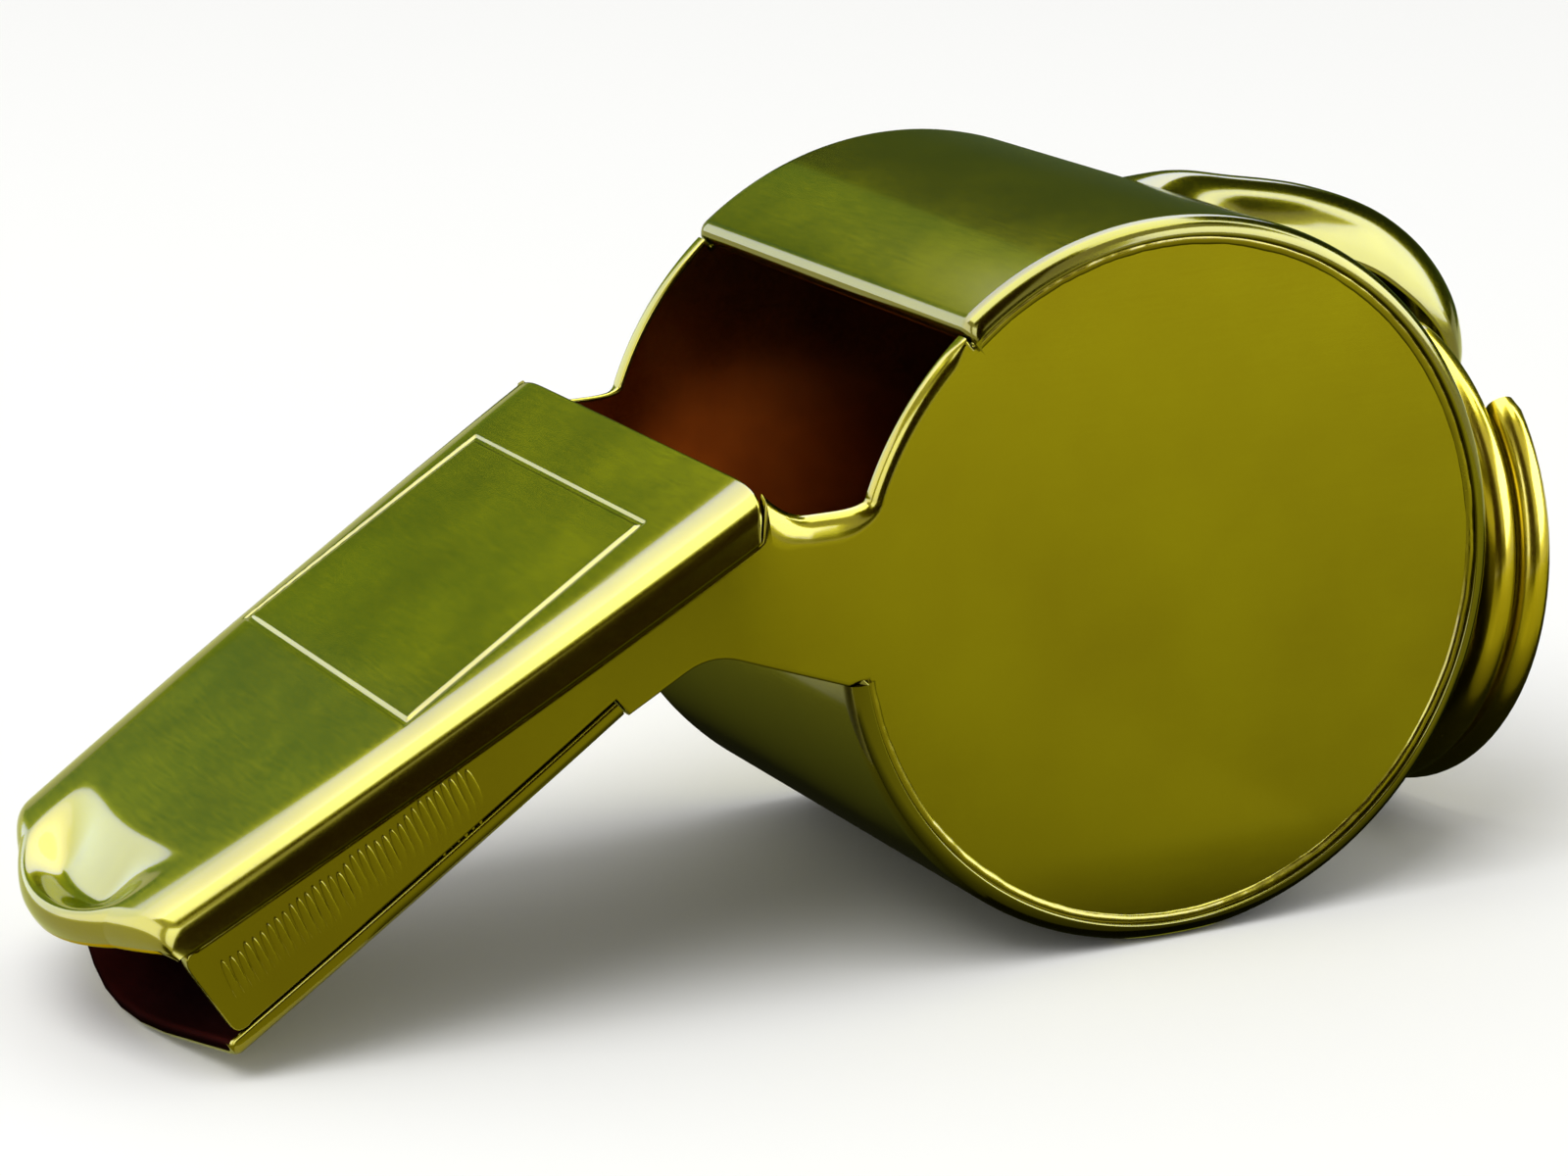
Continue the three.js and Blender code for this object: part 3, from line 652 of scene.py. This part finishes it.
def lanyardLoop():
    stations = [polar(barrel["radius"] + loop["height"] * share, degrees) for degrees, share in loop["route"]]
    trace = curveThrough(stations, loop["tracePoints"])
    length = np.concatenate([[0], np.cumsum(np.linalg.norm(np.diff(trace, axis=0), axis=1))])
    along = np.linspace(0, 1, loop["rows"])
    route = np.stack([np.interp(along * length[-1], length, trace[:, i]) for i in (0, 1)], axis=1)
    ahead = np.gradient(route, axis=0)
    ahead /= np.linalg.norm(ahead, axis=1)[:, None]
    droops = loop["droop"] * smooth(along / loop["droopGrown"])
    droops *= 1 - smooth((along - loop["droopKept"]) / (loop["droopGone"] - loop["droopKept"]))
    half, thick = loop["width"] / 2, loop["thickness"]
    share = np.sin(np.linspace(-math.pi / 2, math.pi / 2, loop["columns"]))
    crown = thick / 2 - (thick - loop["edge"]) * share ** 2
    ease = loop["edgeRound"] * np.clip(1 - (1 - np.abs(share)) * half / loop["edgeRound"], 0, 1) ** 2

    def face(place, out, height):
        spot = place + np.multiply.outer(height, out)
        far = np.linalg.norm(spot, axis=1)[:, None]
        spot = spot * np.maximum(1, loop["footRadius"] / far)  # the feet end in the solder on the barrel
        return acrossAt(spot, half * share)

    outer, inner = [], []
    for place, go, droop in zip(route, ahead, droops):
        out = np.array([-go[1], go[0]])  # away from the barrel
        outer.append(face(place, out, crown - ease - droop * share ** 2))
        inner.append(face(place, out, loop["innerEase"] * ease - thick / 2 - droop * share ** 2))
    return thickSheet("lanyardLoop", np.array(outer), np.array(inner), loop["columns"])  # one metal all over


# Geometry Nodes: a tree with named inputs, run once and kept as a plain mesh

def newTree(name, floats, vectors, counts=()):
    tree = bpy.data.node_groups.new(name, "GeometryNodeTree")
    for kind, labels in (("Float", floats), ("Vector", vectors), ("Int", counts), ("Material", ["Material"])):
        for label in labels:
            tree.interface.new_socket(label, in_out="INPUT", socket_type="NodeSocket" + kind)
    tree.interface.new_socket("Geometry", in_out="OUTPUT", socket_type="NodeSocketGeometry")
    return tree, addNode(tree, "NodeGroupInput").outputs


def finishTree(tree, shape, material):
    soft = addNode(tree, "GeometryNodeSetShadeSmooth", links={"Geometry": shape})
    whole = addNode(tree, "GeometryNodeRealizeInstances", links={"Geometry": soft.outputs["Geometry"]})
    made = addNode(tree, "GeometryNodeSetMaterial",
                   links={"Geometry": whole.outputs["Geometry"], "Material": material})
    addNode(tree, "NodeGroupOutput", links={"Geometry": made.outputs["Geometry"]})


def runTree(name, tree, values):
    holder = bpy.data.objects.new(name, bpy.data.meshes.new(name + "Start"))
    bpy.context.scene.collection.objects.link(holder)
    modifier = holder.modifiers.new("shape", "NODES")
    modifier.node_group = tree
    for item in tree.interface.items_tree:
        if item.in_out == "INPUT":
            modifier[item.identifier] = values[item.name]
    bpy.context.view_layer.update()
    mesh = bpy.data.meshes.new_from_object(holder.evaluated_get(bpy.context.evaluated_depsgraph_get()))
    mesh.name = name
    holder.modifiers.remove(modifier)
    holder.data = mesh
    tidyMesh(mesh, "wire")
    return holder


# Split ring: overlapping turns of drawn wire with one bend where it crosses from turn to turn

ring = {"radius": 7.6, "wire": 1.18, "gap": 0.2, "lean": 4.7, "twist": 3, "endAngle": 47, "bendStart": 232,
        "bendEnd": 290, "wound": 590, "turnPoints": 96, "wirePoints": 28, "burrMm": 0.3, "burrSize": 0.8}


def ringTree():
    tree, given = newTree("splitRingTree", ["Ring Radius", "Wire Radius", "Pitch", "Turns", "Bend Start", "Bend End",
                                            "End Angle", "Lean", "Twist"], ["Hang"])
    coil = addNode(tree, "GeometryNodeCurveSpiral",  # its z is the share of the wire, until it is flattened
                   {"Resolution": ring["turnPoints"], "Height": 1.0},
                   {"Rotations": given["Turns"], "Start Radius": given["Ring Radius"],
                    "End Radius": given["Ring Radius"]})
    place = addNode(tree, "ShaderNodeSeparateXYZ",
                    links={"Vector": addNode(tree, "GeometryNodeInputPosition").outputs["Position"]})
    cross = addNode(tree, "ShaderNodeMapRange", {"To Max": 0.0},
                    {"Value": place.outputs["Z"], "From Min": given["Bend Start"], "From Max": given["Bend End"],
                     "To Min": given["Pitch"]}, interpolation_type="SMOOTHSTEP")
    flat = addNode(tree, "ShaderNodeCombineXYZ", links={"X": place.outputs["X"], "Y": place.outputs["Y"]})
    turned = addNode(tree, "ShaderNodeVectorRotate",
                     links={"Vector": flat.outputs["Vector"], "Angle": given["End Angle"]}, rotation_type="Z_AXIS")
    inPlane = addNode(tree, "ShaderNodeSeparateXYZ", links={"Vector": turned.outputs["Vector"]})
    near = addNode(tree, "ShaderNodeMath", {1: -1.0}, {0: inPlane.outputs["X"]}, operation="MULTIPLY")
    below = addNode(tree, "ShaderNodeMath", links={0: inPlane.outputs["Y"], 1: given["Ring Radius"]},
                    operation="SUBTRACT")
    upright = addNode(tree, "ShaderNodeCombineXYZ",
                      links={"X": cross.outputs["Result"], "Y": near.outputs[0], "Z": below.outputs[0]})
    leaned = addNode(tree, "ShaderNodeVectorRotate",
                     links={"Vector": upright.outputs["Vector"], "Angle": given["Lean"]}, rotation_type="Y_AXIS")
    twisted = addNode(tree, "ShaderNodeVectorRotate",
                      links={"Vector": leaned.outputs["Vector"], "Angle": given["Twist"]}, rotation_type="Z_AXIS")
    hung = addNode(tree, "ShaderNodeVectorMath", links={0: twisted.outputs["Vector"], 1: given["Hang"]},
                   operation="ADD")
    path = addNode(tree, "GeometryNodeSetPosition",
                   links={"Geometry": coil.outputs["Curve"], "Position": hung.outputs["Vector"]})
    along = addNode(tree, "GeometryNodeSplineParameter")
    whole = addNode(tree, "GeometryNodeSplineLength")
    left = addNode(tree, "ShaderNodeMath", links={0: whole.outputs["Length"], 1: along.outputs["Length"]},
                   operation="SUBTRACT")
    nearest = addNode(tree, "ShaderNodeMath", links={0: along.outputs["Length"], 1: left.outputs[0]},
                      operation="MINIMUM")
    burr = addNode(tree, "ShaderNodeMapRange",  # the cut ends are filed thinner
                   {"From Max": ring["burrMm"] * mm, "To Min": ring["burrSize"], "To Max": 1.0},
                   {"Value": nearest.outputs[0]})
    section = addNode(tree, "GeometryNodeCurvePrimitiveCircle", {"Resolution": ring["wirePoints"]},
                      {"Radius": given["Wire Radius"]})
    wire = addNode(tree, "GeometryNodeCurveToMesh", {"Fill Caps": True},
                   {"Curve": path.outputs["Geometry"], "Profile Curve": section.outputs["Curve"],
                    "Scale": burr.outputs["Result"]})
    finishTree(tree, wire.outputs["Mesh"], given["Material"])
    return tree


def splitRing():
    values = {"Ring Radius": ring["radius"] * mm, "Wire Radius": ring["wire"] / 2 * mm,
              "Pitch": (ring["wire"] + ring["gap"]) * mm, "Turns": ring["wound"] / 360,
              "Bend Start": ring["bendStart"] / ring["wound"], "Bend End": ring["bendEnd"] / ring["wound"],
              "End Angle": math.radians(ring["endAngle"]), "Lean": math.radians(ring["lean"]),
              "Twist": math.radians(ring["twist"]), "Hang": tuple(toFrame(ringPivot)), "Material": wireBrass}
    return runTree("splitRing", ringTree(), values)


# Solder: the wiped bead between each disc and the band's rim

seam = {"bead": 0.2, "wander": 0.06, "lumpMm": 0.9, "swell": (0.92, 1.08), "radius": 10.78, "sink": 0.1,
        "arcPoints": 520, "beadPoints": 12}


def seamTree():
    tree, given = newTree("solderSeamTree", ["Seam Radius", "Start", "Sweep", "Bead", "Wander", "Lump Scale", "Seed"],
                          ["Middle"])
    arc = addNode(tree, "GeometryNodeCurveArc", {"Resolution": seam["arcPoints"]},
                  {"Radius": given["Seam Radius"], "Start Angle": given["Start"], "Sweep Angle": given["Sweep"]})
    lumps = addNode(tree, "ShaderNodeTexNoise", {"Detail": 3.0}, {"Scale": given["Lump Scale"], "W": given["Seed"]},
                    noise_dimensions="4D")
    away = addNode(tree, "ShaderNodeVectorMath", {1: (0.5, 0.5, 0.5)}, {0: lumps.outputs["Color"]},
                   operation="SUBTRACT")  # noise is centred on a half
    reach = addNode(tree, "ShaderNodeVectorMath", links={0: away.outputs["Vector"], "Scale": given["Wander"]},
                    operation="SCALE")
    path = addNode(tree, "GeometryNodeSetPosition",
                   links={"Geometry": arc.outputs["Curve"], "Offset": reach.outputs["Vector"]})
    swell = addNode(tree, "ShaderNodeMapRange",
                    {"From Min": noiseRange[0], "From Max": noiseRange[1], "To Min": seam["swell"][0],
                     "To Max": seam["swell"][1]}, {"Value": lumps.outputs["Fac"]})
    section = addNode(tree, "GeometryNodeCurvePrimitiveCircle", {"Resolution": seam["beadPoints"]},
                      {"Radius": given["Bead"]})
    bead = addNode(tree, "GeometryNodeCurveToMesh", {"Fill Caps": True},
                   {"Curve": path.outputs["Geometry"], "Profile Curve": section.outputs["Curve"],
                    "Scale": swell.outputs["Result"]})
    stand = addNode(tree, "GeometryNodeTransform", {"Rotation": (math.pi / 2, 0, 0)},
                    {"Geometry": bead.outputs["Mesh"], "Translation": given["Middle"]})
    finishTree(tree, stand.outputs["Geometry"], given["Material"])
    return tree


def solderSeam(name, tree, side, seed):
    low, high = barrel["notchAngle"] - 360, barrel["bladeAngle"]
    middle = toFrame((0, side * (plateHalf - seam["sink"]), 0))
    values = {"Seam Radius": seam["radius"] * mm, "Start": math.radians(low), "Sweep": math.radians(high - low),
              "Bead": seam["bead"] * mm, "Wander": seam["wander"] * mm, "Lump Scale": perMm(seam["lumpMm"]),
              "Seed": float(seed), "Middle": tuple(middle), "Material": solderBrass}
    return runTree(name, tree, values)


# Fine ribs across the front of each arm, from and to so far along the roof and below it

ribs = {"count": 33, "from": (12.0, 2.3), "to": (20.9, 2.85), "length": 2.0, "width": 0.28, "height": 0.045, "tilt": 8,
        "least": (0.8, 0.5, 0.75), "most": (1.1, 1.0, 1.0), "segments": 24, "rings": 12}


def ribTree():
    tree, given = newTree("armRibsTree", ["Side", "Bend", "Plate", "Taper", "Bow"], ["Start", "End", "Size", "Turn"],
                          ["Count", "Seed"])
    line = addNode(tree, "GeometryNodeMeshLine",
                   links={"Count": given["Count"], "Start Location": given["Start"], "Offset": given["End"]},
                   mode="END_POINTS")
    place = addNode(tree, "ShaderNodeSeparateXYZ",
                    links={"Vector": addNode(tree, "GeometryNodeInputPosition").outputs["Position"]})
    ahead = addNode(tree, "ShaderNodeMath", links={0: given["Bend"], 1: place.outputs["X"]}, operation="SUBTRACT")
    lean = addNode(tree, "ShaderNodeMath", links={0: ahead.outputs[0], 1: given["Taper"]}, operation="MULTIPLY")
    square = addNode(tree, "ShaderNodeMath", links={0: ahead.outputs[0], 1: ahead.outputs[0]}, operation="MULTIPLY")
    bow = addNode(tree, "ShaderNodeMath", links={0: square.outputs[0], 1: given["Bow"], 2: lean.outputs[0]},
                  operation="MULTIPLY_ADD")
    face = addNode(tree, "ShaderNodeMath", links={0: given["Plate"], 1: bow.outputs[0]}, operation="SUBTRACT")
    across = addNode(tree, "ShaderNodeMath", links={0: face.outputs[0], 1: given["Side"]}, operation="MULTIPLY")
    spot = addNode(tree, "ShaderNodeCombineXYZ",
                   links={"X": place.outputs["X"], "Y": across.outputs[0], "Z": place.outputs["Z"]})
    onArm = addNode(tree, "GeometryNodeSetPosition",
                    links={"Geometry": line.outputs["Mesh"], "Position": spot.outputs["Vector"]})
    grain = addNode(tree, "GeometryNodeMeshUVSphere",  # one across, scaled to each rib
                    {"Segments": ribs["segments"], "Rings": ribs["rings"], "Radius": 0.5})
    vary = addNode(tree, "FunctionNodeRandomValue", {"Min": ribs["least"], "Max": ribs["most"]},
                   {"Seed": given["Seed"]}, data_type="FLOAT_VECTOR")
    size = addNode(tree, "ShaderNodeVectorMath", links={0: vary.outputs["Value"], 1: given["Size"]},
                   operation="MULTIPLY")
    laid = addNode(tree, "GeometryNodeInstanceOnPoints",
                   links={"Points": onArm.outputs["Geometry"], "Instance": grain.outputs["Mesh"],
                          "Rotation": given["Turn"], "Scale": size.outputs["Vector"]})
    finishTree(tree, laid.outputs["Instances"], given["Material"])
    return tree


def armRibs(name, tree, side, seed):
    low, high = (onRoof(ribs[key][0], -ribs[key][1]) for key in ("from", "to"))
    start, end = toFrame((low[0], 0, low[1])), toFrame((high[0], 0, high[1]))
    turn = roofLean - math.radians(ribs["tilt"])
    values = {"Count": ribs["count"], "Start": tuple(start), "End": tuple(end), "Side": float(side),
              "Bend": toFrame((bendX, 0, 0))[0], "Plate": plateHalf * mm, "Taper": taperRate,
              "Bow": mouth["armBow"] / armRun ** 2 / mm,
              "Size": (ribs["width"] * mm, 2 * ribs["height"] * mm, ribs["length"] * mm), "Turn": (0, -turn, 0),
              "Seed": seed, "Material": sheetBrass}
    return runTree(name, tree, values)


# Cork pea: a turned ball of ground cork, with shallow pits where grains have come out

pea = {"diameter": 12.4, "clearance": 0.3, "pitDepth": 0.09, "pitMm": 0.7, "pitStart": 0.15, "pitSteepness": 2,
       "subdivisions": 6}


def corkPea():
    radius = pea["diameter"] / 2
    height = -(barrel["radius"] - barrel["sheet"] - pea["clearance"] - radius)
    work = bmesh.new()
    bmesh.ops.create_icosphere(work, subdivisions=pea["subdivisions"], radius=1)
    for vert in work.verts:
        way = vert.co.normalized()
        pit = max(0, noise.noise(way * radius / pea["pitMm"]) - pea["pitStart"]) * pea["pitSteepness"]
        vert.co = toFrame(np.array(way) * (radius - pea["pitDepth"] * min(1, pit)) + np.array([0, 0, height]))
    mesh = bpy.data.meshes.new("corkPea")
    work.to_mesh(mesh)
    work.free()
    mesh.shade_smooth()
    return mesh


# The pieces take the place of the plain solids

def standFor(thing, node, body):
    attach(thing, body)
    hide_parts(node)


sides = {"right": (-1, 3), "left": (1, 8)}  # side, seed
standFor(newObject("barrelBand", barrelBand(), shadedBandBrass, insideBrass),
         "barrel_band", "whistle_body")
for word, (side, seed) in sides.items():
    standFor(newObject("sidePlate_" + word, sidePlate("sidePlate_" + word, side), sheetBrass, insideBrass),
             "side_plate_" + word, "whistle_body")
standFor(newObject("mouthpieceTop", mouthpieceTop(), pressedBrass, insideBrass),
         "mouthpiece_top", "whistle_body")
# The floor's inner face takes the near-black brown: painted shade inside the mouth
standFor(newObject("mouthpieceFloor", mouthpieceFloor(), sheetBrass, mouthShadeBrass),
         "mouthpiece_floor", "whistle_body")
standFor(newObject("lanyardLoop", lanyardLoop(), shadedBandBrass), "lanyard_loop", "whistle_body")
standFor(splitRing(), "split_ring", "ring")
standFor(newObject("corkPea", corkPea(), cork), "cork_pea", "pea")
beads, ridges = seamTree(), ribTree()
for word, (side, seed) in sides.items():
    for extra in (solderSeam("solderSeam_" + word, beads, side, seed),
                  armRibs("armRibs_" + word, ridges, side, seed)):
        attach(extra, "whistle_body")
print("pieces ready")


# Camera at the photograph's angle

view = {"place": (-72.99, -134.00, 38.63), "ahead": (0.4168, 0.8715, -0.2585), "right": (0.8993, -0.4367, -0.0223),
        "focalPixels": 4917.43, "imageWidth": 1600, "sensor": 36, "clipStart": 5}


def addCamera():
    data = bpy.data.cameras.new("camera")
    data.sensor_width = view["sensor"]
    data.lens = view["sensor"] * view["focalPixels"] / view["imageWidth"]
    data.clip_start = view["clipStart"] * mm
    thing = bpy.data.objects.new("camera", data)
    ahead = Vector(view["ahead"]).normalized()
    right = Vector(view["right"])
    right = (right - ahead * right.dot(ahead)).normalized()
    up = right.cross(ahead)
    matrix = thing.matrix_world.copy()
    for i, place in enumerate(toFrame(view["place"])):
        matrix[i] = right[i], up[i], -ahead[i], place
    thing.matrix_world = matrix
    bpy.context.scene.collection.objects.link(thing)
    bpy.context.scene.camera = thing


addCamera()


# Stage: a white floor under soft light, and the bright and dark cards of a table-top studio, seen only in reflections

floorSheet = {"reach": 1.2, "colour": "#F4F4F2", "roughness": 0.9, "grainMm": 2, "bumpStrength": 0.05, "bumpMm": 0.02}
lamp = {"place": (-0.42, -0.22, 0.85), "aim": (0, 0, 0.011), "size": 0.75, "strength": 3.7}
ambient = 0.65
# Middle in mm, width, height, tilt (90 is upright), turn about z, linear light at the low and the high edge
cards = {
    "backTop": ((0, 520, 640), 1400, 640, 90, 0, (3.2, 3.4, 10.0), (5.4, 5.7, 18.0)),
    "overhead": ((0, 200, 960), 1400, 640, 0, 0, (5.8, 6.3, 12.0), (5.8, 6.3, 12.0)),
    "overheadFront": ((400, -260, 960), 600, 280, 0, 0, (5.8, 6.3, 9.0), (5.8, 6.3, 9.0)),
    "backMiddle": ((-290, 510, 230), 820, 180, 90, 0, (0.28, 0.44, 0.11), (0.3, 0.46, 0.12)),
    "backGreen": ((-109, 500, 200), 82, 260, 90, 0, (0.21, 0.42, 0.28), (0.21, 0.42, 0.28)),
    "backRight": ((410, 510, 150), 580, 340, 90, 0, (0.05, 0.07, 0.03), (0.15, 0.2, 0.07)),
    "backLow": ((94, 75, 6), 192, 35, 90, 0, (0.06, 0.09, 0.04), (0.08, 0.11, 0.05)),
    "backLeft": ((-260, 300, 94), 340, 212, 90, 0, (2.8, 3.1, 8.0), (2.8, 3.1, 8.0)),
    "front": ((-145, -330, 315), 310, 652, 90, 0, (0.03, 0.01, 0.003), (0.05, 0.015, 0.004)),
    "frontLow": ((30, -328, 29), 220, 82, 90, 0, (0.02, 0.01, 0.003), (0.02, 0.01, 0.003)),
    "frontTop": ((-230, -250, 650), 660, 200, 0, 0, (0.05, 0.015, 0.004), (0.05, 0.015, 0.004)),
    "frontRight": ((330, -260, 160), 420, 260, 90, 52, (5.4, 5.9, 14.0), (6.2, 6.8, 17.0)),
    "loopShade": ((400, -171, 500), 180, 280, 90, 52, (0.06, 0.07, 0.02), (0.06, 0.07, 0.02)),
    "frontLeft": ((-400, -225, 180), 300, 320, 90, -60, (3.0, 3.2, 8.0), (4.5, 4.9, 12.0)),
    "sideRight": ((480, 210, 360), 400, 700, 90, 90, (0.03, 0.045, 0.015), (0.05, 0.07, 0.03)),
    "sideBright": ((478, -55, 380), 120, 640, 90, 90, (5.4, 5.9, 14.0), (6.2, 6.8, 17.0)),
    # The cards that lie just above the floor are painted shade on the floor, seen only in reflections: the whistle's
    # own shadow beneath and close to it, and darker patches in front of it
    "shade": ((27, 12, -11.3), 44, 68, 0, 90, (0.01, 0.014, 0.006), (0.01, 0.01, 0.006)),
    "shadeLeft": ((-12, 38, -11.3), 94, 10, 0, 90, (0.01, 0.01, 0.006), (0.3, 0.3, 0.07)),
    "frontShade": ((10, -74, -11.35), 160, 130, 0, 0, (1.45, 1.45, 0.25), (0.56, 0.56, 0.1)),
    "rimShade": ((1, -12.5, -11.31), 50, 9, 0, 0, (0.5, 0.5, 0.09), (0.01, 0.01, 0.004)),
    "neckShade": ((3, -35, -11.32), 52, 14, 0, 90, (0.8, 0.8, 0.14), (0.5, 0.5, 0.09)),
    "armShade": ((-24.5, -35, -11.32), 52, 41, 0, 90, (0.58, 0.58, 0.1), (0.45, 0.43, 0.07)),
    "rollShade": ((-34, -190, -11.32), 80, 256, 0, 0, (0.02, 0.012, 0.004), (0.02, 0.012, 0.004)),
    "tipShade": ((-47.5, -18, -11.33), 29, 28, 0, 0, (0.03, 0.02, 0.01), (0.03, 0.02, 0.01)),
    "left": ((-340, 172, 120), 320, 260, 90, 63, (3.4, 3.6, 9.0), (3.4, 3.6, 9.0)),
}


def flatSheet(name, width, height, material):
    mesh = bpy.data.meshes.new(name)
    w, h = width / 2, height / 2
    mesh.from_pydata([(-w, -h, 0), (w, -h, 0), (w, h, 0), (-w, h, 0)], [], [(0, 1, 2, 3)])
    return newObject(name, mesh, material)


# White paper: matt, with a faint grain
def floorPaper():
    material, tree, place, surface = newMaterial("Floor_paper_white")
    grain = addNode(tree, "ShaderNodeTexNoise", {"Scale": perMm(floorSheet["grainMm"]), "Detail": 3},
                    {"Vector": place})
    lift = addNode(tree, "ShaderNodeBump",
                   {"Strength": floorSheet["bumpStrength"], "Distance": floorSheet["bumpMm"] * mm},
                   {"Height": grain.outputs["Fac"]})
    surface.inputs["Base Color"].default_value = hexColour(floorSheet["colour"])
    surface.inputs["Roughness"].default_value = floorSheet["roughness"]
    surface.inputs["Specular IOR Level"].default_value = 0
    tree.links.new(lift.outputs["Normal"], surface.inputs["Normal"])
    return material


def addCard(name, middle, width, height, tilt, turn, low, high):
    material = bpy.data.materials.new("Card_" + name)
    material.use_nodes = True
    tree = material.node_tree
    tree.nodes.clear()
    place = addNode(tree, "ShaderNodeTexCoord")
    part = addNode(tree, "ShaderNodeSeparateXYZ", links={"Vector": place.outputs["Generated"]})
    blend = addNode(tree, "ShaderNodeMix", {"A": (*low, 1), "B": (*high, 1)}, {"Factor": part.outputs["Y"]},
                    data_type="RGBA")
    glow = addNode(tree, "ShaderNodeEmission", {"Strength": 1.0}, {"Color": blend.outputs["Result"]})
    addNode(tree, "ShaderNodeOutputMaterial", links={"Surface": glow.outputs["Emission"]})
    card = flatSheet("card_" + name, width * mm, height * mm, material)
    card.location = toFrame(middle)
    card.rotation_euler = (math.radians(tilt), 0, math.radians(turn))
    card.visible_camera = False
    card.visible_diffuse = False
    card.visible_shadow = False
    card.visible_transmission = False


def addLamp():
    data = bpy.data.lights.new("softBox", "AREA")
    data.size = lamp["size"]
    data.energy = lamp["strength"] * math.pi * lamp["size"] ** 2
    box = bpy.data.objects.new("softBox", data)
    box.location = lamp["place"]
    box.rotation_euler = (Vector(lamp["aim"]) - Vector(lamp["place"])).to_track_quat("-Z", "Y").to_euler()
    box.visible_glossy = False
    bpy.context.scene.collection.objects.link(box)


# White to the camera and in mirrors, softer as light
def addWorld():
    world = bpy.data.worlds.new("studio")
    bpy.context.scene.world = world
    world.use_nodes = True
    tree = world.node_tree
    tree.nodes.clear()
    rays = addNode(tree, "ShaderNodeLightPath")
    shiny = addNode(tree, "ShaderNodeMath", operation="ADD",
                    links={0: rays.outputs["Is Camera Ray"], 1: rays.outputs["Is Glossy Ray"]})
    seen = addNode(tree, "ShaderNodeMath", operation="ADD",
                   links={0: shiny.outputs[0], 1: rays.outputs["Is Transmission Ray"]})
    level = addNode(tree, "ShaderNodeMapRange", {"To Min": ambient, "To Max": 1.0}, {"Value": seen.outputs[0]})
    sky = addNode(tree, "ShaderNodeBackground", {"Color": (1, 1, 1, 1)}, {"Strength": level.outputs["Result"]})
    addNode(tree, "ShaderNodeOutputWorld", links={"Surface": sky.outputs["Background"]})


flatSheet("floor", 2 * floorSheet["reach"], 2 * floorSheet["reach"], floorPaper())
for name, card in cards.items():
    addCard(name, *card)
addLamp()
addWorld()
bpy.context.scene.view_settings.view_transform = "Standard"
print("stage ready")
